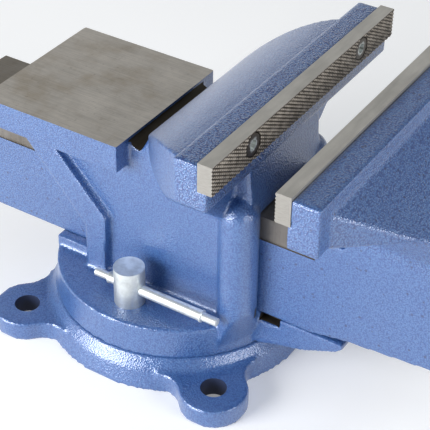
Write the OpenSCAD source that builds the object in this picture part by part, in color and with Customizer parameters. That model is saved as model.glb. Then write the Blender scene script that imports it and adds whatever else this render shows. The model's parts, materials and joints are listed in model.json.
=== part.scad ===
// Bench vise with a swivel base, an anvil and a sliding front jaw.
// X runs along the slide, towards the moving jaw. Z is up. The origin is
// the swivel axis at the bench surface. All sizes are in millimetres.

/* [Jaws] */
// Width of both jaws
jaw_width = 200; // [170:1:250]
// Height of the jaw plates' top above the bench
jaw_top = 193; // [185:1:240]
// Distance from the swivel axis to the fixed clamping face
jaw_face_x = 85.9; // [85:0.1:105]
// Gap between the two plates at rest
jaw_opening = 35.7; // [20:0.1:60]
// Height of a jaw plate
plate_height = 17.5; // [15:0.5:24]
// Thickness of a jaw plate
plate_thick = 9.1; // [8:0.1:12]
// Height of a plate's top above its slab
plate_proud = 1.5; // [0:0.1:3]
// Distance between the two screws of a plate
plate_screw_gap = 120; // [100:1:140]
// Thickness of the jaw slab behind a plate
slab_thick = 14.4; // [13.5:0.1:20]
// How much thicker the moving jaw's slab is than the fixed one
slab_extra = 1.6; // [0:0.1:4]
// Height of the ledge under a plate
ledge_height = 12.2; // [8:0.1:15]
// How far the fixed jaw's ledge reaches past its plate's seat
ledge_reach = 5.5; // [2:0.1:7]
// How far the moving jaw's ledge reaches past its plate's seat
moving_ledge_reach = 2; // [1:0.1:7]

/* [Anvil] */
// Length of the anvil along the slide
anvil_length = 99; // [80:1:120]
// Width of the anvil
anvil_width = 103.4; // [92:0.1:124]
// Thickness of the anvil plate
anvil_thick = 18.6; // [14:0.1:22]
// Height of the anvil's top above the bench
anvil_top = 143.6; // [140:0.1:150]
// Place of the anvil's end nearest to the jaw
anvil_end_x = -9.4; // [-14:0.1:-6]

/* [Body] */
// Width of the upright body
body_width = 79; // [76:0.5:90]
// Rear edge of the upright body
body_rear_x = -40.7; // [-50:0.1:-35]
// Front face of the upright body
body_front_x = 72; // [70:0.1:78]
// Radius of the turning foot at its top
foot_top_r = 77.6; // [76:0.1:88]
// Height of the foot's top above the bench
foot_top_z = 40.3; // [36:0.1:44]
// How far the rear rib stands out of the body's side
rib_proud = 5.5; // [3:0.1:8]
// Radius of the rounded pillars beside the tunnel's mouth
pillar_r = 12; // [10:0.1:13]
// Height of the pillars' rounded tops
pillar_top_z = 131; // [110:1:140]
// Reach of the tongue under the slide from the swivel axis
tongue_reach = 133; // [115:1:150]

/* [Slide] */
// Width of the painted part of the slide
slide_width = 62.8; // [56:0.1:66]
// Height of the slide's machined top above the bench
slide_top = 116.3; // [110:0.1:118]
// Height of the slide's lower edge above the bench
slide_bottom = 48; // [46:0.1:52]
// Height of the machined strip along each side
strip_height = 15.3; // [8:0.1:20]
// How far the strip is cut into the painted side
strip_step = 1; // [0.5:0.1:2]
// Rear end of the slide at rest
slide_rear_x = -160; // [-190:1:-145]
// Width of the open channel under the slide
channel_width = 38; // [37:0.5:42]
// Thickness of metal over the channel
channel_roof = 14; // [10:0.5:18]
// Front face of the boss that carries the spindle
boss_face_x = 232; // [222:1:250]
// Length of the boss's bore
boss_length = 27; // [20:1:32]

/* [Swivel base] */
// Radius of the base on the bench
base_r = 88.1; // [86:0.1:94]
// Radius of the seam between base and body
seam_r = 79.3; // [78:0.1:84]
// Height of the seam
seam_z = 20; // [18:0.5:22]
// Radius of the opening that the body turns in
spigot_bore_r = 66; // [65.5:0.1:68]
// Radius of the cavity under the lip
cavity_r = 76.5; // [75.8:0.1:77]
// Thickness of the lip
lip_thick = 8; // [6:0.5:9]
// Side of the square of bench bolts
bolt_square = 140; // [134:1:150]
// Diameter of a bench bolt's hole
bolt_hole = 16; // [10:0.5:18]
// Outer radius of a lug
lug_r = 21; // [18:0.5:24]
// Thickness of a lug
lug_thick = 13; // [10:0.5:14]
// Radius of the hollow between a lug and the ring
lug_blend_r = 16; // [12:0.5:24]

/* [Swivel locks] */
// Distance of a lock screw from the slide's centre plane
lock_y = 57.5; // [55:0.1:59]
// Place of the lock screws along the slide
lock_x = 1.5; // [-5:0.1:5]
// Diameter of a lock screw's head
lock_head_d = 19; // [16:0.5:22]
// Height of a lock screw's head
lock_head_h = 25.7; // [20:0.1:30]
// Diameter of a lock screw's thread
lock_thread_d = 12; // [8:1:13]
// Diameter of a lock bar
lock_bar_d = 6.9; // [5:0.1:8]
// Length of a lock bar
lock_bar_len = 87; // [60:1:88]
// Length of a lock bar's reduced tip
lock_tip_len = 10.6; // [5:0.1:14]

/* [Spindle and handle] */
// Diameter of the spindle's thread
spindle_d = 25; // [18:1:27]
// Height of the spindle above the bench
spindle_z = 76; // [74:0.5:80]
// Rear end of the spindle at rest
spindle_rear_x = -142; // [-145:1:-132]
// Diameter of the spindle's head
head_d = 42; // [34:1:46]
// Length of the spindle's head
head_length = 38; // [30:1:46]
// Diameter of the handle bar
handle_d = 16; // [12:0.5:19]
// Length of the handle bar between its knobs
handle_length = 252; // [200:1:290]
// Diameter of a knob
knob_d = 26; // [20:1:32]
// Length of the nut
nut_length = 45; // [35:1:50]

/* [Fits] */
// Side and top gap between the slide and its tunnel
slide_gap = 0.3; // [0.2:0.05:0.6]
// Gap around a shaft that turns or slides in its bore
running_gap = 0.08; // [0.03:0.01:0.1]
// Gap around a screw that only passes through
clear_gap = 0.5; // [0.3:0.1:0.8]

/* [Hidden] */
$fn = 96;

PAINT = [0.33, 0.48, 0.74];
ZINC = [0.78, 0.80, 0.80];
STEEL = [0.62, 0.60, 0.56];
DARK_STEEL = [0.36, 0.34, 0.32];

// Jaw levels
seat_z = jaw_top - plate_height;
slab_top = jaw_top - plate_proud;
ledge_z = seat_z - ledge_height;
fixed_seat_x = jaw_face_x - plate_thick;
fixed_slab_x = fixed_seat_x - slab_thick;
moving_face_x = jaw_face_x + jaw_opening;
moving_seat_x = moving_face_x + plate_thick;
moving_slab_x = moving_seat_x + slab_thick + slab_extra;
moving_ledge_z = ledge_z - 1.4;
screw_z = seat_z + plate_height * 0.54;

// Jaw plate screws
screw_d = 8;
screw_head_d = 13;
screw_head_h = 5;
screw_grip = 12;
socket_d = 6.5;

// Body levels
floor_z = slide_bottom - slide_gap;
floor_half = body_width / 2 - 2;
anvil_under = anvil_top - anvil_thick;
anvil_rear_x = anvil_end_x - anvil_length;
groove_z = anvil_top - 5.8;
groove_x = anvil_end_x + 8;
crest_x = groove_x + 6.6;
crest_z = groove_z + 11.6;
hump_r = 72;
hump_top_z = slab_top - 7.5;
rib_width = 14.2;
rib_bend_z = 72;
// The rear edge climbs this far back for each millimetre up
rib_lean = 0.875;
// Flare from the body's sides to the jaw's ends, and how much it shrinks towards its foot
flare_half = jaw_width / 2 - 8.5;
flare_bow = 5.9;
flare_drop = 50;
flare_taper = 0.72;
spigot_r = spigot_bore_r - 4 * running_gap;
spigot_z = seam_z - lip_thick + 0.4;
shoulder_r = seam_r + 5.2;

// Clamp ring under the lip
clamp_top = seam_z - lip_thick - 0.4;
clamp_thick = 7.2;
clamp_outer_r = cavity_r - 2.5;
clamp_inner_r = lock_y - lock_thread_d / 2 - 3.5;

// Lock screws
lock_top = foot_top_z + lock_head_h;
lock_bar_z = foot_top_z + 11.4;
lock_bar_out = 19;
lock_tip_d = lock_bar_d - 1.6;
stake_d = lock_bar_d + 1;

// Slide
strip_z = slide_top - strip_height;
strip_half = slide_width / 2 - strip_step;
strip_end_x = body_front_x + jaw_opening + 3.3;
channel_top = slide_top - channel_roof;
neck_x = moving_seat_x - 2;

// Spindle, nut and handle
washer_thick = 3;
shoulder_len = 8;
shoulder_d = spindle_d + 5;
head_x = boss_face_x + washer_thick + shoulder_len;
handle_x = head_x + head_length / 2;
boss_back_x = boss_face_x - boss_length;
spring_len = 14;
spring_gap = 0.4;
spring_wire = 2.6;
spring_r = spindle_d / 2 + spring_wire / 2 + 0.5;
spring_turns = 3;
collar_thick = 4;
collar_x = boss_back_x - spring_len - 2 * spring_gap - collar_thick;
cotter_d = 5;
cotter_x = collar_x - cotter_d / 2 - 0.6;
nut_x = 13;
nut_half = channel_width / 2 - 2;
nut_top = channel_top - 8;
nut_bolt_d = 12;
nut_bolt_x = nut_x + nut_length / 2;
nut_bolt_head = 19;
nut_bolt_in = 12;
knob_neck_d = handle_d - 4;
knob_grip = 14;

// Extrudes an outline drawn in X and Z to both sides of the centre plane
module across(width) {
    rotate([90, 0, 0]) linear_extrude(width, center = true) children();
}

// Extrudes an outline drawn in Y and Z from x0 to x1
module along(x0, x1) {
    translate([x0, 0, 0]) rotate([90, 0, 90]) linear_extrude(x1 - x0) children();
}

// A box between two corners
module block(low, high) {
    translate(low) cube(high - low);
}

// A cylinder along X from x0 to x1 at a place in Y and Z
module rod_x(x0, x1, y, z, d) {
    translate([x0, y, z]) rotate([0, 90, 0]) cylinder(h = x1 - x0, d = d);
}

// A cylinder along Y
module rod_y(x, y0, y1, z, d) {
    translate([x, y1, z]) rotate([90, 0, 0]) cylinder(h = y1 - y0, d = d);
}

// ---- Swivel base ----

// Points of an arc about a centre, from one angle to another
function arc(centre, r, from, to, steps) =
    [for (i = [0 : steps]) let (a = from + (to - from) * i / steps) centre + r * [cos(a), sin(a)]];

// Outline of one lug on the X axis, round at its end and hollowed into the ring at its sides
module lug_outline() {
    hole_r = bolt_square / sqrt(2);
    to_ring = (base_r + shoulder_r) / 2 + lug_blend_r;
    to_lug = lug_r + lug_blend_r;
    bx = (pow(to_ring, 2) + pow(hole_r, 2) - pow(to_lug, 2)) / (2 * hole_r);
    by = sqrt(pow(to_ring, 2) - pow(bx, 2));
    ring_angle = atan2(by, bx);
    lug_angle = atan2(by, bx - hole_r);
    upper = concat(arc([hole_r, 0], lug_r, 0, lug_angle, 12),
        arc([bx, by], lug_blend_r, lug_angle - 180, ring_angle - 180, 8));
    lower = [for (i = [len(upper) - 1 : -1 : 1]) [upper[i].x, -upper[i].y]];
    polygon(concat(upper, [[cavity_r * 0.8, by * 0.8], [cavity_r * 0.8, -by * 0.8]], lower));
}

module swivel_base() {
    color(PAINT) difference() {
        union() {
            rotate_extrude() polygon([[spigot_bore_r - 2, 0], [base_r, 0],
                [shoulder_r, seam_z - lip_thick], [seam_r, seam_z], [spigot_bore_r - 2, seam_z]]);
            for (turn = [45 : 90 : 315]) rotate([0, 0, turn]) linear_extrude(lug_thick) lug_outline();
        }
        translate([0, 0, -1]) cylinder(h = seam_z + 2, r = spigot_bore_r);
        translate([0, 0, -1]) cylinder(h = seam_z - lip_thick + 1, r = cavity_r);
        for (x = [-1, 1], y = [-1, 1]) {
            translate([x * bolt_square / 2, y * bolt_square / 2, -1])
                cylinder(h = lug_thick + 2, d = bolt_hole);
        }
    }
}

// Ring under the lip, drawn up by the two lock screws
module clamp_plate() {
    color(DARK_STEEL) difference() {
        translate([0, 0, clamp_top - clamp_thick]) cylinder(h = clamp_thick, r = clamp_outer_r);
        translate([0, 0, clamp_top - clamp_thick - 1]) cylinder(h = clamp_thick + 2, r = clamp_inner_r);
        for (side = [-1, 1]) {
            translate([lock_x, side * lock_y, clamp_top - clamp_thick - 1])
                cylinder(h = clamp_thick + 2, d = lock_thread_d + 2 * running_gap);
        }
    }
}

// ---- Fixed body ----

// Side outline of the upright body up to the groove behind the jaw
module body_outline() {
    rear_x = body_rear_x - (anvil_under - rib_bend_z) * rib_lean;
    polygon([[body_rear_x, seam_z + 8], [body_front_x - 8, seam_z + 8],
        [body_front_x + 2, foot_top_z + 6], [body_front_x + 2, anvil_under],
        [body_front_x - 1.5, ledge_z], [fixed_slab_x, ledge_z],
        [crest_x, crest_z], [groove_x, groove_z], [anvil_end_x, groove_z + 2.7],
        [anvil_end_x, anvil_under + 1], [rear_x, anvil_under + 1], [rear_x, anvil_under],
        [body_rear_x, rib_bend_z]]);
}

// Side outline of the raised rib along the body's rear edge
module rib_outline() {
    rise = anvil_under - rib_bend_z;
    polygon([[body_rear_x, seam_z + 8], [body_rear_x + rib_width, seam_z + 8],
        [body_rear_x + rib_width + 2, rib_bend_z + 10],
        [body_rear_x - rise * rib_lean + 22, anvil_under + 1],
        [body_rear_x - rise * rib_lean, anvil_under + 1],
        [body_rear_x - rise * rib_lean, anvil_under], [body_rear_x, rib_bend_z]]);
}

// Side outline of the rounded hump that backs the fixed jaw
module hump_outline() {
    run = fixed_slab_x - crest_x;
    rise = hump_top_z - crest_z;
    half = sqrt(run * run + rise * rise) / 2;
    sink = sqrt(hump_r * hump_r - half * half) / (2 * half);
    intersection() {
        translate([(crest_x + fixed_slab_x) / 2 + rise * sink, (crest_z + hump_top_z) / 2 - run * sink])
            circle(hump_r);
        translate([crest_x, crest_z - 40]) square([run + 4, slab_top - crest_z + 60]);
    }
    translate([fixed_slab_x, crest_z - 40])
        square([body_front_x - 1.5 - fixed_slab_x, ledge_z + 41 - crest_z]);
}

// Plan of the hump, which widens in a shallow bow from the body to the jaw's ends
module flare_plan() {
    start = [crest_x, body_width / 2];
    run = [fixed_slab_x, flare_half] - start;
    out = flare_bow * [-run.y, run.x] / norm(run);
    bow = [for (i = [0 : 12]) let (t = i / 12) start + run * t + out * 4 * t * (1 - t)];
    side = concat(bow, [[fixed_slab_x, body_width / 2], [body_front_x, body_width / 2]]);
    polygon(concat(side, [for (i = [len(side) - 1 : -1 : 0]) [side[i].x, -side[i].y]]));
}

// The flare's full plan down to the crest, and below it a part that draws in towards the slab's foot
module flare_body() {
    low = crest_z - flare_drop;
    translate([0, 0, crest_z]) linear_extrude(jaw_top - crest_z) flare_plan();
    translate([fixed_slab_x, 0, low]) linear_extrude(flare_drop, scale = 1 / flare_taper)
        scale(flare_taper) translate([-fixed_slab_x, 0]) flare_plan();
}

// End view of the flare: wide under the slab and narrow at the body
module flare_front() {
    half = jaw_width / 2;
    body_half = body_width / 2;
    polygon([[-half, ledge_z], [-body_half, ledge_z - 51], [-body_half, ledge_z - 60],
        [body_half, ledge_z - 60], [body_half, ledge_z - 51], [half, ledge_z], [half, jaw_top],
        [-half, jaw_top]]);
}

// Slab, ledge and flared hump of the fixed jaw
module fixed_jaw_head() {
    half = jaw_width / 2;
    block([fixed_slab_x, -half, ledge_z], [fixed_seat_x, half, slab_top]);
    block([fixed_slab_x, -half, ledge_z], [fixed_seat_x + ledge_reach, half, seat_z]);
    intersection() {
        across(jaw_width) hump_outline();
        flare_body();
        along(crest_x - 10, body_front_x) flare_front();
    }
}

// Tunnel that the slide runs in, narrower along the machined strips
module slide_tunnel() {
    wide = slide_width / 2 + slide_gap;
    narrow = strip_half + slide_gap;
    x0 = anvil_rear_x - 1;
    x1 = tongue_reach + 1;
    block([x0, -wide, floor_z], [x1, wide, strip_z + slide_gap]);
    block([x0, -narrow, floor_z], [x1, narrow, slide_top + slide_gap]);
}

// Tongue that carries the slide in front of the foot
module tongue() {
    root_x = body_front_x - 10;
    across(slide_width) polygon([[root_x, seam_z + 2], [body_front_x + 4, seam_z + 3],
        [foot_top_r + 12, seam_z + 7], [tongue_reach - 27, seam_z + 11],
        [tongue_reach - 5, foot_top_z], [tongue_reach, floor_z - 3.5], [tongue_reach - 1, floor_z],
        [root_x, floor_z]]);
}

// Rounded pillar beside the tunnel's mouth, drawn in at its foot to meet the turning foot's side
module pillar(side) {
    top = pillar_top_z - pillar_r;
    intersection() {
        translate([body_front_x - 6, side * body_width / 2, 0]) {
            translate([0, 0, seam_z]) cylinder(h = top - seam_z, r = pillar_r);
            translate([0, 0, top]) sphere(pillar_r);
        }
        rotate_extrude() polygon([[0, seam_z], [seam_r - 0.4, seam_z], [seam_r - 0.7, seam_z + 7],
            [seam_r + 2.5, foot_top_z - 4], [seam_r + 6.5, foot_top_z + 6],
            [seam_r + pillar_r, foot_top_z + 20], [seam_r + pillar_r, jaw_top], [0, jaw_top]]);
    }
}

module fixed_body() {
    color(PAINT) difference() {
        union() {
            rotate_extrude() polygon([[0, spigot_z], [spigot_r, spigot_z], [spigot_r, seam_z],
                [seam_r, seam_z], [foot_top_r, foot_top_z], [0, foot_top_z]]);
            block([-foot_top_r + 8.6, -floor_half, foot_top_z - 1], [body_front_x, floor_half, floor_z]);
            across(body_width) body_outline();
            across(body_width + 2 * rib_proud) rib_outline();
            block([anvil_rear_x, -anvil_width / 2, anvil_under], [anvil_end_x, anvil_width / 2, anvil_top]);
            fixed_jaw_head();
            tongue();
            for (side = [-1, 1]) pillar(side);
        }
        slide_tunnel();
        // Run-out of the tunnel's machined floor at the tongue's root
        for (side = [-1, 1]) translate([body_front_x + 12, side * slide_width / 2, floor_z]) {
            cube([14, 13, 12], center = true);
        }
        // Lock screws, nut bolt with its sunk head, and jaw plate screws
        for (side = [-1, 1]) {
            translate([lock_x, side * lock_y, 0])
                cylinder(h = foot_top_z + 1, d = lock_thread_d + 2 * clear_gap);
            rod_x(fixed_seat_x - screw_grip - 1, jaw_face_x, side * plate_screw_gap / 2, screw_z,
                screw_d + 2 * running_gap);
        }
        translate([nut_bolt_x, 0, 0]) cylinder(h = floor_z + 1, d = nut_bolt_d + 2 * clear_gap);
        translate([nut_bolt_x, 0, 0]) cylinder(h = spigot_z + nut_bolt_in, d = nut_bolt_head + 5);
    }
}

// ---- Jaw plates ----

// One plate with its clamping face at face_x, facing the way that out points
module jaw_plate(face_x, out) {
    back_x = face_x - out * plate_thick;
    difference() {
        block([min(face_x, back_x), -jaw_width / 2, seat_z], [max(face_x, back_x), jaw_width / 2, jaw_top]);
        for (side = [-1, 1]) {
            rod_x(min(face_x, back_x) - 1, max(face_x, back_x) + 1, side * plate_screw_gap / 2, screw_z,
                screw_d + 2 * running_gap);
            rod_x(out > 0 ? face_x - screw_head_h - 0.6 : face_x - 1,
                out > 0 ? face_x + 1 : face_x + screw_head_h + 0.6,
                side * plate_screw_gap / 2, screw_z, screw_head_d + 2 * clear_gap);
        }
    }
}

// The two socket screws of one plate, with their heads just under its face
module jaw_screws(face_x, out) {
    head_in = face_x - out * (screw_head_h + 0.6);
    tip = face_x - out * (plate_thick + screw_grip);
    for (side = [-1, 1]) translate([0, side * plate_screw_gap / 2, screw_z]) difference() {
        union() {
            rod_x(min(head_in, head_in + out * screw_head_h), max(head_in, head_in + out * screw_head_h),
                0, 0, screw_head_d);
            rod_x(min(tip, head_in), max(tip, head_in), 0, 0, screw_d);
        }
        translate([head_in + out * (screw_head_h - 3), 0, 0]) rotate([0, out * 90, 0])
            cylinder(h = 4, d = socket_d, $fn = 6);
    }
}

module fixed_jaw_plate() { color(STEEL) jaw_plate(jaw_face_x, 1); }
module fixed_jaw_screws() { color(ZINC) jaw_screws(jaw_face_x, 1); }
module moving_jaw_plate() { color(STEEL) jaw_plate(moving_face_x, -1); }
module moving_jaw_screws() { color(ZINC) jaw_screws(moving_face_x, -1); }

// ---- Moving jaw and its slide ----

// Side outline of the painted slide, which deepens towards the boss
module slide_outline() {
    polygon([[slide_rear_x, slide_bottom], [tongue_reach - 20, slide_bottom],
        [tongue_reach, slide_bottom + 3.5], [boss_face_x - 44, slide_bottom + 8],
        [boss_face_x, slide_bottom + 8], [boss_face_x, strip_z], [slide_rear_x, strip_z]]);
}

// Side outline of the block behind the moving slab
module jaw_back_outline() {
    polygon([[neck_x, strip_z - 1], [boss_face_x, strip_z - 1], [boss_face_x, slide_top - 4],
        [boss_face_x - 4, slide_top], [boss_face_x - 26, slide_top + 14], [moving_slab_x + 36, slab_top - 45],
        [moving_slab_x, slab_top - 9.5], [moving_slab_x - 1, slab_top - 9.5],
        [moving_slab_x - 1, ledge_z + 1], [neck_x, ledge_z + 1]]);
}

// Plan of the same block, which narrows from the slab to the slide
module jaw_back_plan() {
    wide = jaw_width / 2 - 11.4;
    slide_half = slide_width / 2;
    polygon([for (side = [-1, 1], step = [0 : 4]) let (i = side < 0 ? step : 4 - step)
        [[neck_x, moving_slab_x, moving_slab_x + 33, moving_slab_x + 46, boss_face_x][i],
        side * [wide, wide, slide_half + 11, slide_half, slide_half][i]]]);
}

// End view of the same block
module jaw_back_front() {
    wide = jaw_width / 2 - 11.4;
    slide_half = slide_width / 2;
    polygon([for (side = [-1, 1], step = [0 : 4]) let (i = side < 0 ? step : 4 - step)
        [side * [slide_half, slide_half, slide_half + 11, wide, wide][i],
        [strip_z - 1, ledge_z - 36, ledge_z - 13, ledge_z - 2, slab_top][i]]]);
}

module moving_jaw() {
    half = jaw_width / 2;
    color(PAINT) difference() {
        union() {
            across(slide_width) slide_outline();
            block([slide_rear_x, -strip_half, strip_z - 1], [neck_x + 1, strip_half, slide_top]);
            block([strip_end_x, -slide_width / 2, strip_z - 1], [neck_x + 1, slide_width / 2, slide_top]);
            intersection() {
                across(jaw_width) jaw_back_outline();
                linear_extrude(jaw_top) jaw_back_plan();
                along(neck_x, boss_face_x) jaw_back_front();
            }
            block([moving_seat_x, -half, moving_ledge_z], [moving_slab_x, half, slab_top]);
            block([moving_seat_x - moving_ledge_reach, -half, moving_ledge_z], [moving_slab_x, half, seat_z]);
        }
        block([slide_rear_x - 1, -channel_width / 2, slide_bottom - 1],
            [boss_back_x, channel_width / 2, channel_top]);
        rod_x(boss_back_x - 1, boss_face_x + 1, 0, spindle_z, spindle_d + 2 * running_gap);
        for (side = [-1, 1]) {
            rod_x(moving_face_x, moving_seat_x + screw_grip + 1, side * plate_screw_gap / 2, screw_z,
                screw_d + 2 * running_gap);
        }
    }
}

// ---- Spindle and what runs on it ----

module spindle() {
    color(STEEL) difference() {
        union() {
            rod_x(spindle_rear_x, head_x, 0, spindle_z, spindle_d);
            rod_x(boss_face_x + washer_thick, head_x, 0, spindle_z, shoulder_d);
            rod_x(head_x, head_x + head_length, 0, spindle_z, head_d);
        }
        rod_y(handle_x, -head_d, head_d, spindle_z, handle_d + 2 * running_gap);
        translate([cotter_x, 0, spindle_z - spindle_d])
            cylinder(h = 2 * spindle_d, d = cotter_d + 2 * running_gap);
    }
}

// Nut block, bolted to the tunnel's floor inside the slide's channel
module spindle_nut() {
    color(DARK_STEEL) difference() {
        block([nut_x, -nut_half, floor_z], [nut_x + nut_length, nut_half, nut_top]);
        rod_x(nut_x - 1, nut_x + nut_length + 1, 0, spindle_z, spindle_d + 2 * running_gap);
        translate([nut_bolt_x, 0, floor_z - 1])
            cylinder(h = nut_bolt_in + 1, d = nut_bolt_d + 2 * running_gap);
    }
}

module nut_bolt() {
    seat = spigot_z + nut_bolt_in;
    color(ZINC) translate([nut_bolt_x, 0, 0]) {
        translate([0, 0, seat - 8]) cylinder(h = 8, d = nut_bolt_head, $fn = 6);
        translate([0, 0, seat - 1]) cylinder(h = floor_z + nut_bolt_in - 1 - seat, d = nut_bolt_d);
    }
}

module thrust_washer() {
    color(STEEL) difference() {
        rod_x(boss_face_x, boss_face_x + washer_thick, 0, spindle_z, shoulder_d + 8);
        rod_x(boss_face_x - 1, boss_face_x + washer_thick + 1, 0, spindle_z, spindle_d + 2 * running_gap);
    }
}

module spindle_collar() {
    color(STEEL) difference() {
        rod_x(collar_x, collar_x + collar_thick, 0, spindle_z, channel_width - 3);
        rod_x(collar_x - 1, collar_x + collar_thick + 1, 0, spindle_z, spindle_d + 2 * running_gap);
    }
}

module cotter_pin() {
    color(ZINC) translate([cotter_x, 0, spindle_z - channel_width / 2 + 2])
        cylinder(h = channel_width - 4, d = cotter_d);
}

// Coil spring between the boss and the collar, swept ring by ring
module spindle_spring() {
    sides = 8;
    steps = 24;
    rings = spring_turns * steps;
    x0 = boss_back_x - spring_gap - spring_wire / 2;
    pitch = (spring_len - spring_wire) / spring_turns;
    points = [for (i = [0 : rings], k = [0 : sides - 1])
        let (turn = i * 360 / steps, side = k * 360 / sides,
            r = spring_r + spring_wire / 2 * cos(side))
        [x0 - pitch * i / steps + spring_wire / 2 * sin(side), r * cos(turn), spindle_z + r * sin(turn)]];
    skin = [for (i = [0 : rings - 1], k = [0 : sides - 1])
        let (n = (k + 1) % sides) [i * sides + k, i * sides + n, (i + 1) * sides + n, (i + 1) * sides + k]];
    color(DARK_STEEL) polyhedron(points, concat(skin,
        [[for (k = [sides - 1 : -1 : 0]) k], [for (k = [0 : sides - 1]) rings * sides + k]]));
}

// ---- Handle ----

module handle_bar() {
    half = handle_length / 2;
    color(ZINC) {
        rod_y(handle_x, -half, half, spindle_z, handle_d);
        rod_y(handle_x, -half - knob_grip, half + knob_grip, spindle_z, knob_neck_d);
    }
}

// Round knob pressed on the end of the handle bar at the side given
module handle_knob(side) {
    color(ZINC) translate([handle_x, side * handle_length / 2, spindle_z]) rotate([-side * 90, 0, 0])
        difference() {
            rotate_extrude() intersection() {
                translate([0, knob_d * 0.42]) circle(d = knob_d);
                square([knob_d, knob_d]);
            }
            translate([0, 0, -1]) cylinder(h = knob_grip + 1, d = knob_neck_d);
        }
}

module handle_knob_near() { handle_knob(-1); }
module handle_knob_far() { handle_knob(1); }

// ---- Swivel locks ----

module lock_screw(side) {
    foot = clamp_top - clamp_thick;
    color(ZINC) difference() {
        translate([lock_x, side * lock_y, 0]) {
            translate([0, 0, foot_top_z]) cylinder(h = lock_head_h, d = lock_head_d);
            translate([0, 0, foot]) cylinder(h = foot_top_z - foot + 1, d = lock_thread_d);
        }
        rod_x(lock_x - lock_head_d, lock_x + lock_head_d, side * lock_y, lock_bar_z,
            lock_bar_d + 2 * running_gap);
    }
}

// Bar with turned-down tips and a raised stake ring at each shoulder
module lock_bar(side) {
    half = lock_bar_len / 2;
    mid = lock_x + lock_bar_out;
    y = side * lock_y;
    color(ZINC) {
        rod_x(mid - half + lock_tip_len, mid + half - lock_tip_len, y, lock_bar_z, lock_bar_d);
        rod_x(mid - half, mid + half, y, lock_bar_z, lock_tip_d);
        for (end = [-1, 1]) {
            shoulder = mid + end * (half - lock_tip_len);
            rod_x(shoulder - 0.5, shoulder + 0.5, y, lock_bar_z, stake_d);
        }
    }
}

module lock_screw_near() { lock_screw(-1); }
module lock_screw_far() { lock_screw(1); }
module lock_bar_near() { lock_bar(-1); }
module lock_bar_far() { lock_bar(1); }

swivel_base();
fixed_body();
clamp_plate();
lock_screw_near();
lock_screw_far();
lock_bar_near();
lock_bar_far();
fixed_jaw_plate();
fixed_jaw_screws();
moving_jaw();
moving_jaw_plate();
moving_jaw_screws();
spindle();
spindle_nut();
nut_bolt();
thrust_washer();
spindle_spring();
spindle_collar();
cotter_pin();
handle_bar();
handle_knob_near();
handle_knob_far();
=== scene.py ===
import json
from math import cos, radians, sin

import bmesh
import bpy
from mathutils import Matrix, Vector


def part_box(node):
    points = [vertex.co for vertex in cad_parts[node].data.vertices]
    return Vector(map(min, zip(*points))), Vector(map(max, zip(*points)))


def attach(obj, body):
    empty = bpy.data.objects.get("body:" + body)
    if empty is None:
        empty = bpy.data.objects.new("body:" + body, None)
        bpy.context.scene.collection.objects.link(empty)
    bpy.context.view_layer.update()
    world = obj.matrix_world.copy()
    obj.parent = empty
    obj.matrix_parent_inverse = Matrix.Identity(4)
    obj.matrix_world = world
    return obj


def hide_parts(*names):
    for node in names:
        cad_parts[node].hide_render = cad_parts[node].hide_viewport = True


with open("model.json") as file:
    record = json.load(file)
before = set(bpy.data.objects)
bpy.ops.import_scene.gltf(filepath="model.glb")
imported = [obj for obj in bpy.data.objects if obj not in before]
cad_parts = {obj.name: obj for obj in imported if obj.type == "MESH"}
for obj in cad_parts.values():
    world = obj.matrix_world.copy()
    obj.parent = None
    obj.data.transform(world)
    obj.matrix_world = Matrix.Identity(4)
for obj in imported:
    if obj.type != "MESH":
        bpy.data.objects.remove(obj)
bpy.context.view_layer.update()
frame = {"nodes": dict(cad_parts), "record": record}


# ---- Swivel base ----
# A grey-iron ring with four bolting lugs, cast in sand, drilled, and sprayed with hammered enamel.
# It is bolted to the bench, and the body turns on it.

MM = 0.001


def link(name, mesh):
    """A new object at the origin that shows the mesh."""
    piece = bpy.data.objects.new(name, mesh)
    bpy.context.scene.collection.objects.link(piece)
    return piece


def to_mesh(bm, name):
    """Turns a finished bmesh into an object, with its faces pointing outwards."""
    bmesh.ops.recalc_face_normals(bm, faces=bm.faces)
    mesh = bpy.data.meshes.new(name)
    bm.to_mesh(mesh)
    bm.free()
    return link(name, mesh)


def add_box(bm, low, high):
    """Adds a closed box between two corners, in metres."""
    low, high = Vector(low), Vector(high)
    place = Matrix.Translation((low + high) / 2) @ Matrix.Diagonal((*(high - low), 1))
    bmesh.ops.create_cube(bm, size=1, matrix=place)


def add_rod(bm, start, end, radius, sides=48):
    """Adds a closed cylinder between two points, in metres."""
    start, end = Vector(start), Vector(end)
    turn = (end - start).to_track_quat("Z", "Y").to_matrix().to_4x4()
    bmesh.ops.create_cone(
        bm, cap_ends=True, segments=sides, radius1=radius, radius2=radius,
        depth=(end - start).length, matrix=Matrix.Translation((start + end) / 2) @ turn)


def apply_modifiers(piece):
    """Replaces the piece's mesh by what its modifiers make of it."""
    shown = piece.evaluated_get(bpy.context.evaluated_depsgraph_get())
    mesh = bpy.data.meshes.new_from_object(shown)
    piece.modifiers.clear()
    piece.data = mesh


def copy_node(node):
    """A bmesh copy of a CAD node, with its split corners joined again."""
    bm = bmesh.new()
    bm.from_mesh(frame["nodes"][node].data)
    bmesh.ops.remove_doubles(bm, verts=bm.verts, dist=1e-6)
    return bm


def cast(name, node, grain, passes, add_stock, triangles):
    """A sand casting: a copy of the CAD node with its edges and inner corners rounded by the mould.
    add_stock adds the metal that is left on for machining."""
    bm = copy_node(node)
    add_stock(bm)
    piece = to_mesh(bm, name)
    remesh = piece.modifiers.new("mould", "REMESH")
    remesh.mode = "VOXEL"
    remesh.voxel_size = grain
    soften = piece.modifiers.new("draft", "SMOOTH")
    soften.factor = 0.5
    soften.iterations = passes
    apply_modifiers(piece)
    faces = len(piece.data.polygons) * 2
    if faces > triangles:
        thin = piece.modifiers.new("thin", "DECIMATE")
        thin.ratio = triangles / faces
        apply_modifiers(piece)
    return piece


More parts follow.
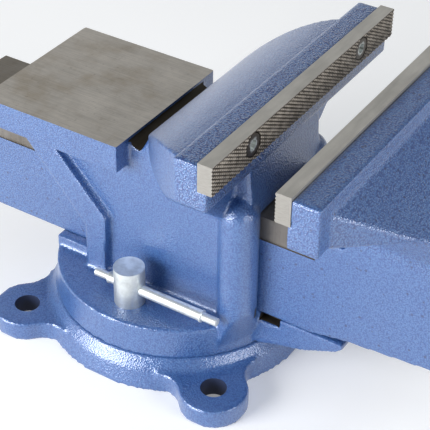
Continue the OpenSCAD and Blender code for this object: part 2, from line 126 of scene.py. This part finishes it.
def machine(piece, add_cutter, finish):
    """Cuts the solids that add_cutter makes out of the piece. The cut faces get the finish."""
    bm = bmesh.new()
    add_cutter(bm)
    cutter = to_mesh(bm, "cutter")
    cutter.data.materials.append(finish)
    cut = piece.modifiers.new("cut", "BOOLEAN")
    cut.operation = "DIFFERENCE"
    cut.solver = "MANIFOLD"
    cut.material_mode = "TRANSFER"
    cut.object = cutter
    apply_modifiers(piece)
    bpy.data.objects.remove(cutter)


def soften_edges(piece, angle=38):
    """Smooth shading that stays crisp at edges sharper than the angle, in degrees."""
    piece.data.polygons.foreach_set("use_smooth", [True] * len(piece.data.polygons))
    piece.data.set_sharp_from_angle(angle=radians(angle))
    return piece


def new_material(name, color, roughness, metallic=0.0):
    """A material with its plain values on the shader itself."""
    material = bpy.data.materials.new(name)
    material.use_nodes = True
    shader = material.node_tree.nodes["Principled BSDF"]
    shader.inputs["Base Color"].default_value = (*color, 1)
    shader.inputs["Roughness"].default_value = roughness
    shader.inputs["Metallic"].default_value = metallic
    return material, material.node_tree, shader


def add_node(tree, kind, inputs=None, **settings):
    """A shader node with its settings, and its inputs given as values or as sockets to link."""
    made = tree.nodes.new("ShaderNode" + kind)
    for key, value in settings.items():
        setattr(made, key, value)
    for key, value in (inputs or {}).items():
        if isinstance(value, bpy.types.NodeSocket):
            tree.links.new(value, made.inputs[key])
        else:
            made.inputs[key].default_value = value
    return made


def ramp(tree, value, stops):
    """A colour ramp with stops of (place, grey or colour)."""
    made = add_node(tree, "ValToRGB", {"Fac": value})
    bar = made.color_ramp.elements
    while len(bar) < len(stops):
        bar.new(0.5)
    for stop, (place, tone) in zip(bar, stops):
        stop.position = place
        stop.color = (*((tone,) * 3 if isinstance(tone, float) else tone), 1)
    return made.outputs["Color"]


def blend(tree, factor, first, second, how="MIX"):
    """One colour laid over another, each a socket or a plain colour."""
    return add_node(tree, "Mix", {"Factor": factor, 6: first, 7: second}, data_type="RGBA",
                    blend_type=how).outputs[2]


def raise_relief(tree, shader, height, strength, depth, sockets=("Normal",)):
    """Fine relief of a depth in metres, seen by the shader's sockets."""
    relief = add_node(tree, "Bump", {"Strength": strength, "Distance": depth, "Height": height})
    for socket in sockets:
        tree.links.new(relief.outputs["Normal"], shader.inputs[socket])


def hammered_enamel(name, calm, rough, pits, start=(9.0, 9.0)):
    """Blue enamel with metal flake, drawn up into small dimples as it dried. The film is dimpled as calm
    says, and as rough says where X and Z are both past the start. pits is how dark its pin holes are."""
    material, tree, shader = new_material(name, (0.045, 0.122, 0.335), 0.42, 0.2)
    place = add_node(tree, "TexCoord").outputs["Object"]
    axes = add_node(tree, "SeparateXYZ", {0: place})
    fade = 4 * MM
    reach = [add_node(tree, "MapRange", {"Value": axes.outputs[axis], "From Min": edge,
                                         "From Max": edge + fade})
             for axis, edge in zip("XZ", start)]
    thick = add_node(tree, "Math", {0: reach[0].outputs[0], 1: reach[1].outputs[0]}, operation="MULTIPLY")
    depth = add_node(tree, "MapRange", {"Value": thick.outputs[0], "To Min": calm,
                                        "To Max": rough}).outputs[0]
    warp = add_node(tree, "TexNoise", {"Vector": place, "Scale": 600.0, "Detail": 2.0})
    bent = add_node(tree, "Mix", {"Factor": 0.0006, 4: place, 5: warp.outputs["Color"]}, data_type="VECTOR")
    film = add_node(tree, "TexVoronoi", {"Vector": bent.outputs[1], "Scale": 980.0, "Smoothness": 0.3},
                    feature="SMOOTH_F1").outputs["Distance"]
    cells = ramp(tree, film, [(0.15, (0.09, 0.2, 0.42)), (0.45, (0.045, 0.125, 0.34)),
                              (0.72, (0.01, 0.042, 0.19))])
    plain = blend(tree, depth, (0.047, 0.128, 0.34, 1), cells)
    blotch = add_node(tree, "TexNoise", {"Vector": place, "Scale": 26.0, "Detail": 4.0, "Roughness": 0.6})
    shade = ramp(tree, blotch.outputs["Fac"], [(0.3, (0.84, 0.87, 0.92)), (0.7, (1.0, 1.0, 1.0))])
    body = blend(tree, 1.0, plain, shade, "MULTIPLY")
    spots = add_node(tree, "TexVoronoi", {"Vector": place, "Scale": 160.0})
    mask = ramp(tree, spots.outputs["Distance"], [(0.1, pits), (0.17, 0.0)])
    tree.links.new(blend(tree, mask, body, (0.012, 0.03, 0.12, 1)), shader.inputs["Base Color"])
    raise_relief(tree, shader, film, depth, 0.4 * MM, ("Normal", "Coat Normal"))
    shader.inputs["Coat Weight"].default_value = 1.0
    shader.inputs["Coat IOR"].default_value = 1.75
    shader.inputs["Coat Roughness"].default_value = 0.25
    return material


base_enamel = hammered_enamel("base_enamel", 0.5, 0.5, 0.0)
bolts = next(m for m in frame["record"]["mounts"] if m["name"] == "bench_bolts")
bolt_places = [(x * bolts["dims"]["spacing_x_mm"] / 2 * MM, y * bolts["dims"]["spacing_y_mm"] / 2 * MM)
               for x in (-1, 1) for y in (-1, 1)]
hole_radius = bolts["dims"]["hole_r_mm"] * MM
lug_top = 13 * MM
inside = 0.1 * MM
# The drilled holes' walls get a near-black navy: painted shade inside the holes.
hole_shade = new_material("hole_shade", (0.018, 0.028, 0.07), 0.5)[0]


def plug_lug_holes(bm):
    """The lugs are cast solid and drilled later, so that the holes' edges stay sharp."""
    for x, y in bolt_places:
        add_rod(bm, (x, y, inside), (x, y, lug_top - inside), hole_radius + 1.5 * MM)


def drill_lug_holes(bm):
    for x, y in bolt_places:
        add_rod(bm, (x, y, -10 * MM), (x, y, 30 * MM), hole_radius, sides=64)


base_ring = cast("base_ring", "swivel_base", 1.3 * MM, 5, plug_lug_holes, 195000)
base_ring.data.materials.append(base_enamel)
# The hole walls are cut in the painted shade.
machine(base_ring, drill_lug_holes, hole_shade)
soften_edges(base_ring)
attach(base_ring, "base")
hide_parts("swivel_base")


# ---- Fixed body ----
# One large casting: the turning foot, the tunnel for the slide, the anvil and the back of the fixed jaw.
# The anvil's top is milled bare after painting, and so is the groove behind the jaw, whose iron is toned
# darker as painted shade.

def streaks(tree, place, squeeze, detail):
    """Noise drawn out along an axis by its scale on each of X, Y and Z, as tool marks are."""
    drawn = add_node(tree, "Mapping", {"Vector": place, "Scale": squeeze}).outputs[0]
    return add_node(tree, "TexNoise", {"Vector": drawn, "Scale": 1.0, "Detail": detail}).outputs["Fac"]


def milled_iron(name, color, roughness, along, pitch=2600.0):
    """Bare machined iron with fine tool marks that run along one axis, under a little oil and old rust."""
    material, tree, shader = new_material(name, color, roughness, 0.8)
    place = add_node(tree, "TexCoord").outputs["Object"]
    marks = streaks(tree, place, [pitch * 0.02 if axis == along else pitch for axis in "XYZ"], 3.0)
    cloud = add_node(tree, "TexNoise", {"Vector": place, "Scale": 38.0, "Detail": 5.0, "Roughness": 0.62})
    fleck = add_node(tree, "TexNoise", {"Vector": place, "Scale": 420.0, "Detail": 3.0})
    light = tuple(c * 1.16 for c in color)
    deep = (color[0] * 0.84, color[1] * 0.8, color[2] * 0.74)
    tone = ramp(tree, cloud.outputs["Fac"], [(0.32, deep), (0.5, color), (0.72, light)])
    lines = ramp(tree, marks, [(0.3, 0.8), (0.62, 1.06)])
    body = blend(tree, 1.0, tone, lines, "MULTIPLY")
    stain = ramp(tree, fleck.outputs["Fac"], [(0.63, 0.0), (0.75, 0.22)])
    tree.links.new(blend(tree, stain, body, (0.12, 0.085, 0.055, 1)), shader.inputs["Base Color"])
    sheen = ramp(tree, marks, [(0.3, roughness * 0.85), (0.7, roughness * 1.25)])
    tree.links.new(sheen, shader.inputs["Roughness"])
    raise_relief(tree, shader, marks, 0.25, 0.1 * MM)
    return material


anvil_iron = milled_iron("anvil_iron", (0.58, 0.535, 0.475), 0.5, "X")
# Bare iron for the groove and the run-out, toned much darker than milled metal: part bare iron, part painted
# shade in those recesses.
shaded_groove_iron = milled_iron("shaded_groove_iron", (0.075, 0.062, 0.045), 0.6, "Y")
body_enamel = hammered_enamel("body_enamel", 0.55, 1.0, 0.0, (62 * MM, 152 * MM))

anvil_top = next(m for m in frame["record"]["mounts"] if m["name"] == "anvil_top")["pos_m"][2]
body_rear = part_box("fixed_body")[0].x
anvil_end = -9.4 * MM
anvil_half = 51.7 * MM
groove_half = 48 * MM
groove_outline = [(-9.3, 160), (-9.2, 141.2), (-7.4, 139.2), (-4.6, 137.6), (-2, 137.1), (-0.6, 138.2),
                  (5.1, 148.9), (5.1, 160)]
run_out_low = Vector((77, 25, 41.4)) * MM
run_out_high = Vector((91, 38, 54)) * MM


def leave_anvil_stock(bm):
    """The anvil is cast 4 mm too thick."""
    add_box(bm, (body_rear, -anvil_half, anvil_top - 5 * MM), (anvil_end, anvil_half, anvil_top + 4 * MM))


def mill_anvil(bm):
    half = 70 * MM
    add_box(bm, (body_rear - 10 * MM, -half, anvil_top), (anvil_end + 3 * MM, half, anvil_top + 20 * MM))


def mill_groove(bm):
    """A round-bottomed groove across the vise, between the anvil's end and the hump."""
    near = bm.faces.new([bm.verts.new((x * MM, -groove_half, z * MM)) for x, z in groove_outline])
    moved = bmesh.ops.extrude_face_region(bm, geom=[near], use_keep_orig=True)["geom"]
    far = [g for g in moved if isinstance(g, bmesh.types.BMVert)]
    bmesh.ops.translate(bm, verts=far, vec=(0, 2 * groove_half, 0))


def cut_run_out(bm):
    """The tool's run-out beside the slide, at the tongue's root."""
    for side in (-1, 1):
        y_low, y_high = sorted((side * run_out_low.y, side * run_out_high.y))
        add_box(bm, (run_out_low.x, y_low, run_out_low.z), (run_out_high.x, y_high, run_out_high.z))


fixed_casting = cast("fixed_casting", "fixed_body", 1.2 * MM, 4, leave_anvil_stock, 180000)
fixed_casting.data.materials.append(body_enamel)
machine(fixed_casting, mill_anvil, anvil_iron)
# The groove and the run-out are cut in the dark iron that paints the shade in them.
machine(fixed_casting, mill_groove, shaded_groove_iron)
machine(fixed_casting, cut_run_out, shaded_groove_iron)
soften_edges(fixed_casting)
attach(fixed_casting, "body")
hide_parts("fixed_body")


# ---- Clamp ring, nut block and nut bolt ----
# Bare castings inside the base and the body: the ring that the lock screws draw up, and the block that
# the spindle turns in, held down on the tunnel's floor by one bolt from below.

bare_casting = milled_iron("bare_casting", (0.13, 0.12, 0.11), 0.6, "Z", 900.0)


def finish_node(node, material):
    """Gives a CAD node that keeps its own shape a finish of its own."""
    mesh = frame["nodes"][node].data
    mesh.materials.clear()
    mesh.materials.append(material)


finish_node("clamp_plate", bare_casting)
finish_node("spindle_nut", bare_casting)


# ---- Lock screws and their bars ----
# Turned steel, zinc plated. Each screw draws the clamp ring up against the lip, and its bar slides
# through the head until a staked shoulder stops it.

def turned(name, node, material, bevel, steps=2):
    """A machined steel part: the CAD solid with its flats rebuilt and its sharp edges broken."""
    bm = copy_node(node)
    bmesh.ops.dissolve_limit(bm, angle_limit=radians(0.8), verts=bm.verts, edges=bm.edges)
    sharp = [e for e in bm.edges if e.is_manifold and e.calc_face_angle(0) > radians(50)]
    bmesh.ops.bevel(bm, geom=sharp, offset=bevel, offset_type="OFFSET", affect="EDGES",
                    segments=steps, profile=0.5, material=-1, clamp_overlap=True)
    piece = to_mesh(bm, name)
    piece.data.materials.append(material)
    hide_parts(node)
    return soften_edges(piece, 30)


def zinc_plate(name, color, roughness, along):
    """Zinc over turned steel: fine lathe rings across the axis given, and a slightly dull, mottled skin."""
    material, tree, shader = new_material(name, color, roughness, 0.8)
    place = add_node(tree, "TexCoord").outputs["Object"]
    rings = streaks(tree, place, [2600.0 if axis == along else 40.0 for axis in "XYZ"], 2.0)
    dull = add_node(tree, "TexNoise", {"Vector": place, "Scale": 240.0, "Detail": 4.0})
    tone = ramp(tree, dull.outputs["Fac"], [(0.3, tuple(c * 0.78 for c in color)), (0.62, color)])
    tree.links.new(tone, shader.inputs["Base Color"])
    sheen = ramp(tree, dull.outputs["Fac"], [(0.3, roughness * 1.3), (0.65, roughness * 0.9)])
    tree.links.new(sheen, shader.inputs["Roughness"])
    raise_relief(tree, shader, rings, 0.5, 0.05 * MM)
    return material


zinc_screw = zinc_plate("zinc_screw", (0.70, 0.74, 0.745), 0.36, "Z")
zinc_bar = zinc_plate("zinc_bar", (0.78, 0.81, 0.81), 0.34, "X")
for side in ("near", "far"):
    lock_screw = turned("swivel_lock_" + side, "lock_screw_" + side, zinc_screw, 0.9 * MM, 3)
    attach(lock_screw, "lock_" + side)
    lock_bar = turned("swivel_bar_" + side, "lock_bar_" + side, zinc_bar, 0.3 * MM)
    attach(lock_bar, "lock_bar_" + side)

finish_node("nut_bolt", zinc_screw)


# ---- Jaw plates and their screws ----
# Hardened steel bars with ground edges. The clamping face is cut with a diamond serration, and two
# sunk socket screws hold each plate to its slab.

def ground_steel(name, color, roughness):
    """Steel with grinding marks along the jaws."""
    material, tree, shader = new_material(name, color, roughness, 0.75)
    place = add_node(tree, "TexCoord").outputs["Object"]
    marks = streaks(tree, place, [300.0, 60.0, 1500.0], 3.0)
    cloud = add_node(tree, "TexNoise", {"Vector": place, "Scale": 60.0, "Detail": 4.0})
    tone = ramp(tree, cloud.outputs["Fac"], [(0.3, tuple(c * 0.88 for c in color)), (0.7, color)])
    lines = ramp(tree, marks, [(0.3, 0.88), (0.65, 1.04)])
    tree.links.new(blend(tree, 1.0, tone, lines, "MULTIPLY"), shader.inputs["Base Color"])
    raise_relief(tree, shader, marks, 0.2, 0.08 * MM)
    return material


def oily_shaded_teeth():
    """The dark, oiled serrated face. The tip_wear_and_shade attribute is 1 on the tooth tips and 0 in the
    valleys: the tips are lightened partly as rubbed wear and partly as painted highlight, and the valleys are
    darkened as painted shade.
    """
    material, tree, shader = new_material("oily_shaded_teeth", (0.11, 0.085, 0.055), 0.5, 0.3)
    place = add_node(tree, "TexCoord").outputs["Object"]
    tip_wear_and_shade = add_node(tree, "Attribute", attribute_name="tip_wear_and_shade").outputs["Fac"]
    grime = add_node(tree, "TexNoise", {"Vector": place, "Scale": 260.0, "Detail": 4.0})
    worn_and_shaded = add_node(tree, "Math", {0: tip_wear_and_shade, 1: grime.outputs["Fac"]}, operation="ADD")
    # Near-black valleys are painted shade; the light stop on the tips is partly wear, partly painted
    # highlight.
    tone = ramp(tree, worn_and_shaded.outputs[0], [(0.5, (0.022, 0.016, 0.011)), (0.85, (0.1, 0.078, 0.056)),
                                        (1.0, (0.38, 0.34, 0.29))])
    tree.links.new(tone, shader.inputs["Base Color"])
    return material


plate_steel = ground_steel("plate_steel", (0.66, 0.625, 0.565), 0.45)
sawn_steel = ground_steel("sawn_steel", (0.36, 0.345, 0.32), 0.5)
teeth_steel = oily_shaded_teeth()
tooth_pitch_y = 4.0 * MM
tooth_pitch_z = 2.06 * MM
tooth_depth = 0.65 * MM
screw_head_radius = 6.5 * MM
sink_radius = 7 * MM
sink_depth = 5.7 * MM


def jaw_plate(name, node, out, body):
    """One plate, made as a grid of teeth drawn back. Its clamping face points along X the way out says."""
    low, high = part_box(node)
    face_x, back_x = (high.x, low.x) if out > 0 else (low.x, high.x)
    columns = 2 * round((high.y - low.y) / tooth_pitch_y)
    rows = 2 * round((high.z - low.z) / tooth_pitch_z)
    bm = bmesh.new()
    bmesh.ops.create_grid(bm, x_segments=columns, y_segments=rows, size=0.5)
    step_y, step_z = (high.y - low.y) / columns, (high.z - low.z) / rows
    tip_wear_and_shade = bm.verts.layers.float.new("tip_wear_and_shade")
    for vert in bm.verts:
        column, row = round((vert.co.x + 0.5) * columns), round((vert.co.y + 0.5) * rows)
        # 1 marks a tooth tip, 0 a valley; the teeth finish paints light and shade from it.
        vert[tip_wear_and_shade] = (column + row) % 2
        depth = tooth_depth * (0.5 if row == rows else 1 - vert[tip_wear_and_shade])
        vert.co = (face_x - out * depth, low.y + column * step_y, low.z + row * step_z)
    for face in bm.faces[:]:
        valleys = [v for v in face.verts if v[tip_wear_and_shade] == 0]
        bmesh.utils.face_split(face, valleys[0], valleys[1])
    for face in bm.faces:
        face.material_index = 1
    rim = [e for e in bm.edges if e.is_boundary]
    sides = bmesh.ops.extrude_edge_only(bm, edges=rim)["geom"]
    for vert in (g for g in sides if isinstance(g, bmesh.types.BMVert)):
        vert.co.x = back_x
    for face in (g for g in sides if isinstance(g, bmesh.types.BMFace)):
        face.material_index = 0
    back = [e for e in bm.edges if e.is_boundary]
    bmesh.ops.contextual_create(bm, geom=back)
    plate = to_mesh(bm, name)
    for steel in (plate_steel, teeth_steel, sawn_steel):
        plate.data.materials.append(steel)
    for face in plate.data.polygons:
        if abs(face.normal.y) > 0.9:
            face.material_index = 2
    screws_low, screws_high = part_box(node.replace("plate", "screws"))
    middle_z = (screws_low.z + screws_high.z) / 2

    def sink_screws(bm):
        for y in (screws_low.y + screw_head_radius, screws_high.y - screw_head_radius):
            add_rod(bm, (face_x - out * sink_depth, y, middle_z), (face_x + out * 5 * MM, y, middle_z),
                    sink_radius)

    machine(plate, sink_screws, teeth_steel)
    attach(plate, body)
    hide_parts(node)
    soften_edges(plate, 20)


jaw_plate("fixed_serrated_plate", "fixed_jaw_plate", 1, "body")
jaw_plate("moving_serrated_plate", "moving_jaw_plate", -1, "jaw")


def oily_head_with_highlight():
    """A socket screw that is dark with oil and filings, with a painted highlight: a bright patch in the
    middle of its head stands in for a glint.
    """
    material, tree, shader = new_material("oily_head_with_highlight", (0.5, 0.5, 0.48), 0.4, 0.45)
    screws_low, screws_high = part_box("fixed_jaw_screws")
    place = add_node(tree, "SeparateXYZ", {0: add_node(tree, "TexCoord").outputs["Object"]})
    half_gap = (screws_high.y - screws_low.y) / 2 - screw_head_radius
    across = add_node(tree, "Math", {0: place.outputs["Y"]}, operation="ABSOLUTE")
    across = add_node(tree, "Math", {0: across.outputs[0], 1: half_gap}, operation="SUBTRACT")
    upward = add_node(tree, "Math", {0: place.outputs["Z"], 1: (screws_low.z + screws_high.z) / 2},
                      operation="SUBTRACT")
    spot = add_node(tree, "CombineXYZ", {0: across.outputs[0], 1: upward.outputs[0]})
    radius = add_node(tree, "VectorMath", {0: spot.outputs[0]}, operation="LENGTH").outputs["Value"]
    grime = add_node(tree, "TexNoise", {"Vector": spot.outputs[0], "Scale": 420.0, "Detail": 3.0})
    edge = add_node(tree, "Math", {0: grime.outputs["Fac"], 1: 4 * MM, 2: radius}, operation="MULTIPLY_ADD")
    painted_highlight = add_node(tree, "MapRange", {"Value": edge.outputs[0], "From Min": 4.2 * MM, "From Max": 6.2 * MM,
                                         "To Min": 1.0, "To Max": 0.0})
    # The bright patch is a painted highlight laid over the oily dark.
    tone = blend(tree, painted_highlight.outputs[0], (0.06, 0.047, 0.034, 1), (0.85, 0.9, 0.88, 1))
    tree.links.new(tone, shader.inputs["Base Color"])
    return material


screw_head = oily_head_with_highlight()
finish_node("fixed_jaw_screws", screw_head)
finish_node("moving_jaw_screws", screw_head)


# ---- Moving jaw ----
# One casting of jaw, slide and spindle boss. The slide's top and a strip down each side are milled to
# run in the tunnel, and the rest keeps its enamel.

slide_iron = milled_iron("slide_iron", (0.27, 0.24, 0.2), 0.42, "X")
strip_iron = milled_iron("strip_iron", (0.2, 0.185, 0.17), 0.5, "Z")
jaw_enamel = hammered_enamel("jaw_enamel", 0.6, 0.8, 0.8, (0, 118 * MM))
slide_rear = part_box("moving_jaw")[0].x
slide_top = 116.3 * MM
strip_low = 101 * MM
strip_half = 30.4 * MM
slide_half = 31.4 * MM
strip_end = 111 * MM
past_end = 10 * MM
past_side = 50 * MM


def leave_slide_stock(bm):
    """The slide is cast 3 mm too high, and as wide at its strips as below them."""
    for side in (-1, 1):
        y_low, y_high = sorted((side * 22 * MM, side * slide_half))
        add_box(bm, (slide_rear, y_low, strip_low - 4 * MM), (strip_end, y_high, slide_top))
    add_box(bm, (slide_rear, -slide_half, slide_top - 6 * MM), (strip_end, slide_half, slide_top + 3 * MM))


def mill_slide_top(bm):
    add_box(bm, (slide_rear - past_end, -past_side, slide_top), (strip_end, past_side, slide_top + past_end))


def mill_slide_strips(bm):
    for side in (-1, 1):
        y_low, y_high = sorted((side * strip_half, side * past_side))
        add_box(bm, (slide_rear - past_end, y_low, strip_low), (strip_end, y_high, slide_top + past_end))


moving_casting = cast("moving_casting", "moving_jaw", 1.2 * MM, 4, leave_slide_stock, 180000)
moving_casting.data.materials.append(jaw_enamel)
machine(moving_casting, mill_slide_top, slide_iron)
machine(moving_casting, mill_slide_strips, strip_iron)
soften_edges(moving_casting)
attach(moving_casting, "jaw")
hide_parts("moving_jaw")


# ---- Spindle and its stop ----
# A turned steel screw with a trapezoid thread of 6 mm pitch and a drilled head. A washer takes the
# thrust at the boss, and a spring, a collar and a cotter pin behind it draw the jaw back.

screw_steel = zinc_plate("screw_steel", (0.42, 0.41, 0.39), 0.35, "X")
spindle_low, spindle_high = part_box("spindle")
spindle_z = (spindle_low.z + spindle_high.z) / 2
screw_radius = 12.5 * MM
thread_depth = 2.6 * MM
thread_pitch = 6 * MM
thread_end = 204 * MM


def cut_ends(bm, start, end):
    """Cuts a bmesh off square at two places along X and closes both ends."""
    for place, facing in ((start, -1), (end, 1)):
        whole = bm.verts[:] + bm.edges[:] + bm.faces[:]
        cut = bmesh.ops.bisect_plane(bm, geom=whole, plane_co=(place, 0, 0), plane_no=(facing, 0, 0),
                                     clear_outer=True)["geom_cut"]
        bmesh.ops.contextual_create(bm, geom=[g for g in cut if isinstance(g, bmesh.types.BMEdge)])


def thread_screw(name):
    """One pitch of the thread's outline, turned about the spindle's axis and moved on as it turns.
    It is made too long and cut off square."""
    turns = round((thread_end - spindle_low.x) / thread_pitch) + 3
    bm = bmesh.new()
    start = spindle_low.x - 1.5 * thread_pitch
    verts = [bm.verts.new((start + step * thread_pitch, 0, screw_radius - thread_depth * depth))
             for step, depth in ((0, 0), (0.3, 0), (0.4, 1), (0.9, 1), (1, 0))]
    for pair in zip(verts, verts[1:]):
        bm.edges.new(pair)
    outline = to_mesh(bm, name)
    turn = outline.modifiers.new("turns", "SCREW")
    turn.axis = "X"
    turn.screw_offset = thread_pitch
    turn.iterations = turns
    turn.steps = turn.render_steps = 40
    apply_modifiers(outline)
    bm = bmesh.new()
    bm.from_mesh(outline.data)
    bpy.data.objects.remove(outline)
    bmesh.ops.remove_doubles(bm, verts=bm.verts, dist=0.02 * MM)
    bmesh.ops.translate(bm, verts=bm.verts, vec=(0, 0, spindle_z))
    cut_ends(bm, spindle_low.x, thread_end)
    return to_mesh(bm, name)


lead_screw = thread_screw("lead_screw")
lead_screw.data.materials.append(screw_steel)
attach(lead_screw, "spindle")

bm = copy_node("spindle")
cut_ends(bm, thread_end, spindle_high.x - 0.1 * MM)
spindle_head = to_mesh(bm, "spindle_head")
spindle_head.data.materials.append(screw_steel)
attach(spindle_head, "spindle")
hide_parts("spindle")
soften_edges(spindle_head, 30)
for node in ("thrust_washer", "spindle_spring", "spindle_collar", "cotter_pin"):
    finish_node(node, screw_steel)


# ---- Handle ----
# A zinc plated bar that slides through the spindle's head, with a round knob pressed on each end.

zinc_handle = zinc_plate("zinc_handle", (0.66, 0.69, 0.70), 0.2, "Y")
for node in ("handle_bar", "handle_knob_near", "handle_knob_far"):
    finish_node(node, zinc_handle)


# ---- Camera and studio ----
# A long lens looks down at the near corner. Two softboxes stand left and right of it, a weak one stands
# low behind on the left, and the floor is plain and pale.

aim = Vector((25.4, 0, 78.3)) * MM
distance = 830.8 * MM
azimuth, elevation, roll = radians(31.92), radians(36.54), radians(0.95)
back = Vector((sin(azimuth) * cos(elevation), -cos(azimuth) * cos(elevation), sin(elevation)))
right = Vector((cos(azimuth), sin(azimuth), 0))
up = back.cross(right)
right, up = right * cos(roll) + up * sin(roll), up * cos(roll) - right * sin(roll)
camera = bpy.data.objects.new("camera", bpy.data.cameras.new("camera"))
bpy.context.scene.collection.objects.link(camera)
facing = Matrix((right, up, back)).transposed().to_4x4()
camera.matrix_world = Matrix.Translation(aim + back * distance) @ facing
camera.data.lens = 113.87
camera.data.sensor_width = 36
camera.data.clip_start = 0.05
bpy.context.scene.camera = camera


def softbox(name, place, size, power):
    """A flat, oblong light that points at the middle of the vise."""
    light = bpy.data.lights.new(name, "AREA")
    light.shape = "RECTANGLE"
    light.size, light.size_y = size
    light.energy = power
    lamp = bpy.data.objects.new(name, light)
    lamp.location = place
    lamp.rotation_euler = (Vector(place) - aim).to_track_quat("Z", "Y").to_euler()
    bpy.context.scene.collection.objects.link(lamp)


softbox("key_left", (-0.73, -1.48, 0.60), (1.15, 0.95), 42)
softbox("fill_right", (1.68, -0.2, 0.62), (0.8, 0.8), 17)
softbox("rear_left", (-1.02, 1.24, 0.36), (1.5, 0.55), 2.6)

world = bpy.data.worlds.new("studio")
world.use_nodes = True
world.node_tree.nodes["Background"].inputs["Color"].default_value = (0.9, 0.95, 1.0, 1)
world.node_tree.nodes["Background"].inputs["Strength"].default_value = 0.33
bpy.context.scene.world = world
bpy.context.scene.view_settings.view_transform = "Standard"

bm = bmesh.new()
bmesh.ops.create_grid(bm, x_segments=1, y_segments=1, size=6)
floor = to_mesh(bm, "floor")
floor_paint, _, floor_shader = new_material("floor_paint", (0.9, 0.9, 0.9), 0.8)
floor_shader.inputs["Emission Color"].default_value = (1, 1, 1, 1)
floor_shader.inputs["Emission Strength"].default_value = 0.2
floor.data.materials.append(floor_paint)
